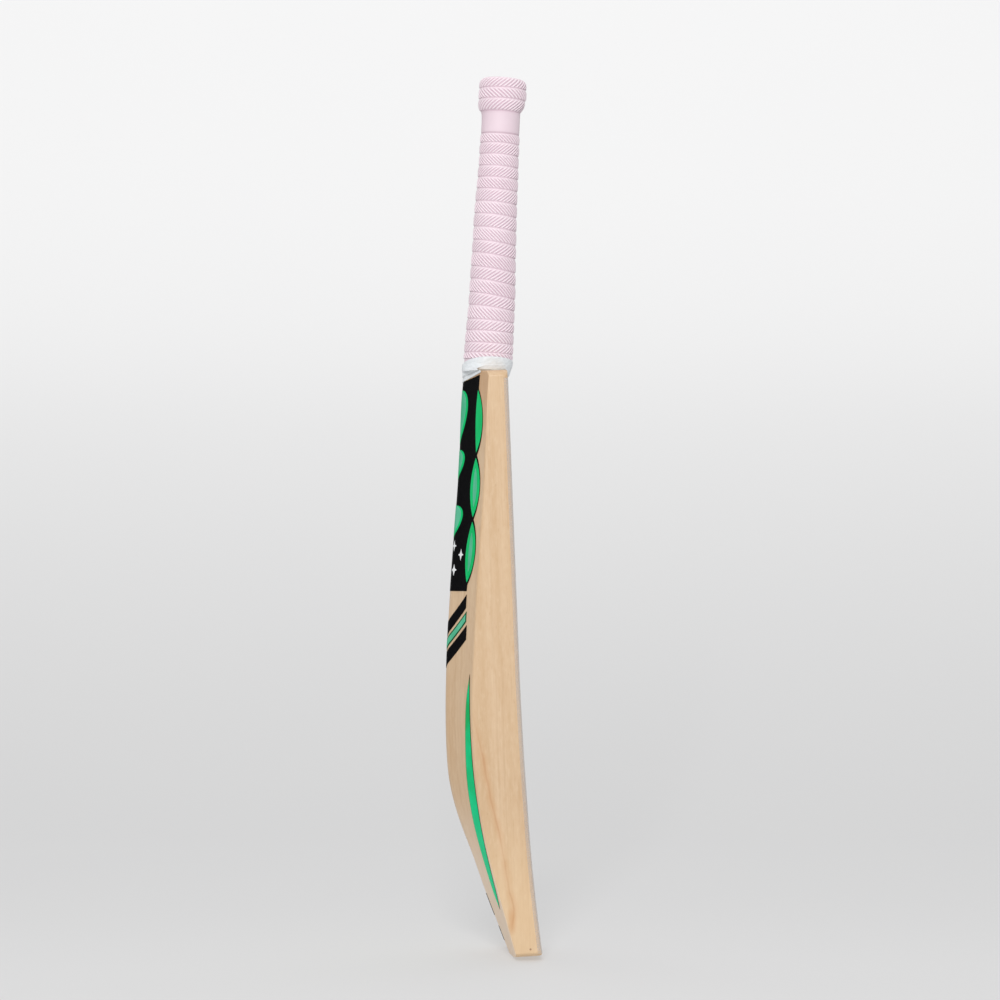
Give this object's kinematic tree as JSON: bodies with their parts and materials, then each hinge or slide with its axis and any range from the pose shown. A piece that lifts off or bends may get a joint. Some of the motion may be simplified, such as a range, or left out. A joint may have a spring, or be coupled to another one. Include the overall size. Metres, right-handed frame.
{
  "type": "cricket bat",
  "caption": "Full-size cricket bat: bowed blade with a thick rounded spine, spliced laminated cane handle, ribbed rubber grip, shoulder tape, clear face film and plain graphic labels.",
  "frame": {"origin": "middle of the toe end, on the line where the plane of the flat part of the hitting face meets the toe end", "axes": "+Z from the toe up the blade to the handle, -Y the way the hitting face looks, +Y the back with the spine, X the width of the blade"},
  "size_m": [0.108, 0.1014, 0.8473],
  "materials": {
    "willow": "light polished bare willow with straight grain",
    "cane": "oiled handle cane with dark pores along the length",
    "spring_rubber": "matte dark rubber layer",
    "twine": "waxed linen thread wound close",
    "grip_rubber": "soft matte pale pink rubber with diagonal ribs",
    "cloth_tape": "white woven tape, slightly glossy",
    "clear_film": "clear fibre-backed face film",
    "black_label": "black vinyl with a fine woven texture",
    "green_foil": "bright green satin metallic vinyl"
  },
  "bodies": {
    "root": {"blade": "willow", "cane_front_1": "cane", "cane_front_2": "cane", "cane_front_3": "cane", "cane_front_4": "cane", "cane_middle_1": "cane", "cane_middle_2": "cane", "cane_middle_3": "cane", "cane_middle_4": "cane", "cane_back_1": "cane", "cane_back_2": "cane", "cane_back_3": "cane", "cane_back_4": "cane", "rubber_spring_front": "spring_rubber", "rubber_spring_back": "spring_rubber", "twine_binding": "twine", "rubber_grip": "grip_rubber", "shoulder_tape": "cloth_tape", "anti_scuff_film": "clear_film", "back_label": "black_label", "spine_emblem": "black_label", "edge_stripe_left": "green_foil", "edge_stripe_right": "green_foil", "toe_marks": "black_label", "face_label": "black_label"}
  },
  "joints": []
}
